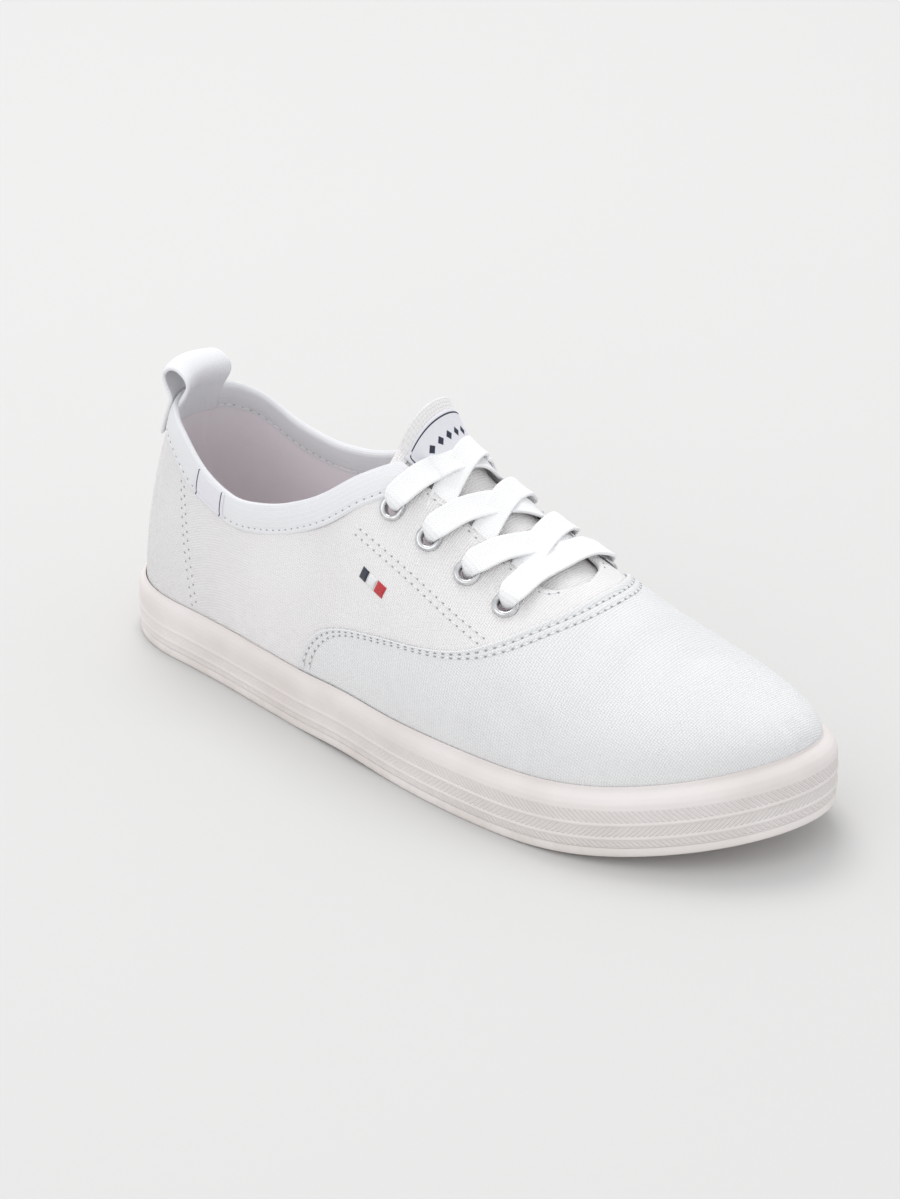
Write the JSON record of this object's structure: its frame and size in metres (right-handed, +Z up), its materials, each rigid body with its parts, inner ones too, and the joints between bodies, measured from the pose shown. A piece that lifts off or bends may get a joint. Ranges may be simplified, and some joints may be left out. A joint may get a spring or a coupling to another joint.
{
  "type": "canvas sneaker",
  "caption": "Low canvas sneaker for the right foot with laced throat, tongue, bound collar, heel pull loop and ribbed rubber foxing round a thin outsole.",
  "frame": {"origin": "on the floor under the middle of the heel", "axes": "+X to the toe, +Y to the inner side of the foot, +Z up"},
  "size_m": [0.2808, 0.0984, 0.1148],
  "materials": {
    "canvas": "plain woven cotton canvas",
    "tape": "fine ribbed cotton tape",
    "lace": "flat braided cotton",
    "lining": "matt cotton lining",
    "rubber": "satin moulded rubber",
    "eyelet": "polished nickel"
  },
  "bodies": {
    "root": {"outsole": "rubber", "foxing": "rubber", "insole": "lining", "upper": "canvas", "collar_binding": "tape", "tongue": "canvas", "tongue_label": "tape", "pull_loop": "tape", "side_tab": "tape", "lace_bar": "lace", "lace_crossing_1": "lace", "lace_crossing_2": "lace", "lace_crossing_3": "lace", "eyelet_outer_1": "eyelet", "eyelet_outer_2": "eyelet", "eyelet_outer_3": "eyelet", "eyelet_outer_4": "eyelet", "eyelet_inner_1": "eyelet", "eyelet_inner_2": "eyelet", "eyelet_inner_3": "eyelet", "eyelet_inner_4": "eyelet"}
  },
  "joints": []
}
